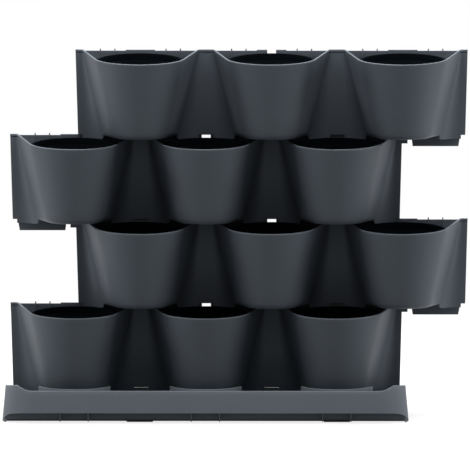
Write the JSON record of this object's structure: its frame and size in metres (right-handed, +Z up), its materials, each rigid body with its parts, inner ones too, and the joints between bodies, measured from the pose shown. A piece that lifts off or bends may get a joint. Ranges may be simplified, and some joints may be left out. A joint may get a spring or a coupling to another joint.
{
  "type": "stacking vertical garden planter",
  "caption": "Stacking wall planter: staggered rows of round plant cups with loose inner pots, hooked on one another above a drip tray, with a flat back for a wall.",
  "frame": {"origin": "middle of the bounding box at floor level", "axes": "+X along the rows to the viewer's right, +Y to the back and the wall, +Z up"},
  "size_m": [0.7086, 0.162, 0.553],
  "materials": {
    "anthracite": "satin",
    "black": "matte",
    "pads": "matte"
  },
  "bodies": {
    "base": {"drip_tray": "anthracite", "foot_pads": "pads"},
    "row_4": {"planter_row_4": "anthracite", "inner_pot_4_left": "black", "inner_pot_4_middle": "black", "inner_pot_4_right": "black"},
    "row_3": {"planter_row_3": "anthracite", "inner_pot_3_left": "black", "inner_pot_3_middle": "black", "inner_pot_3_right": "black"},
    "row_2": {"planter_row_2": "anthracite", "inner_pot_2_left": "black", "inner_pot_2_middle": "black", "inner_pot_2_right": "black"},
    "row_1": {"planter_row_1": "anthracite"},
    "pot_1_left": {"inner_pot_1_left": "black"},
    "pot_1_middle": {"inner_pot_1_middle": "black"},
    "pot_1_right": {"inner_pot_1_right": "black"}
  },
  "joints": [
    {"name": "lift_row_4", "type": "slide", "parent": "base", "child": "row_4", "axis": [0, 0, 1], "range_m": [0, 0.06]},
    {"name": "lift_row_3", "type": "slide", "parent": "row_4", "child": "row_3", "axis": [0, 0, 1], "range_m": [0, 0.06]},
    {"name": "lift_row_2", "type": "slide", "parent": "row_3", "child": "row_2", "axis": [0, 0, 1], "range_m": [0, 0.06]},
    {"name": "lift_row_1", "type": "slide", "parent": "row_2", "child": "row_1", "axis": [0, 0, 1], "range_m": [0, 0.06]},
    {"name": "lift_pot_1_left", "type": "slide", "parent": "row_1", "child": "pot_1_left", "axis": [0, 0, 1], "range_m": [0, 0.125]},
    {"name": "lift_pot_1_middle", "type": "slide", "parent": "row_1", "child": "pot_1_middle", "axis": [0, 0, 1], "range_m": [0, 0.125]},
    {"name": "lift_pot_1_right", "type": "slide", "parent": "row_1", "child": "pot_1_right", "axis": [0, 0, 1], "range_m": [0, 0.125]}
  ]
}
